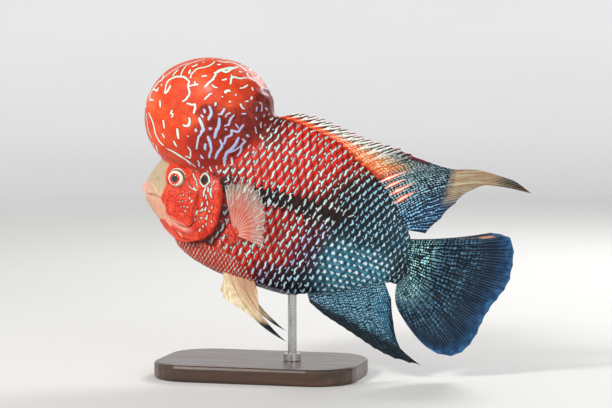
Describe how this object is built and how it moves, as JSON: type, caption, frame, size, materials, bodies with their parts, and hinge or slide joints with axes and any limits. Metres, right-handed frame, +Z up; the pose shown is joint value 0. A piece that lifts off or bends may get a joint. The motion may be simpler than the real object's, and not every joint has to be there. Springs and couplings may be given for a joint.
{
  "type": "flowerhorn cichlid display model",
  "caption": "Life-size still model of a deep-bodied cichlid with a large forehead hump, swimming nose-up, held by a flat base and one rod.",
  "frame": {"origin": "centre of the underside of the stand's base, on the floor", "axes": "+Z up; +X towards the fish's tail, along its length; the fish's left side faces -Y"},
  "size_m": [0.2869, 0.096, 0.232],
  "materials": {
    "head_skin": "moist skin",
    "jaw_skin": "moist skin",
    "hump_skin": "taut glossy skin",
    "body_skin": "moist scaled skin",
    "tail_skin": "moist scaled skin",
    "eye": "wet gloss",
    "blue_fin": "satin membrane",
    "pale_fin": "satin membrane",
    "stand_wood": "satin varnish",
    "stand_steel": "brushed"
  },
  "bodies": {
    "root": {"head": "head_skin", "lower_jaw": "jaw_skin", "nuchal_hump": "hump_skin", "torso": "body_skin", "tail": "tail_skin", "gill_cover_left": "head_skin", "gill_cover_right": "head_skin", "eye_left": "eye", "eye_right": "eye", "dorsal_fin": "blue_fin", "anal_fin": "blue_fin", "caudal_fin": "blue_fin", "pelvic_fin_left": "pale_fin", "pelvic_fin_right": "pale_fin", "pectoral_fin_left": "pale_fin", "pectoral_fin_right": "pale_fin", "stand_base": "stand_wood", "stand_rod": "stand_steel"}
  },
  "joints": []
}
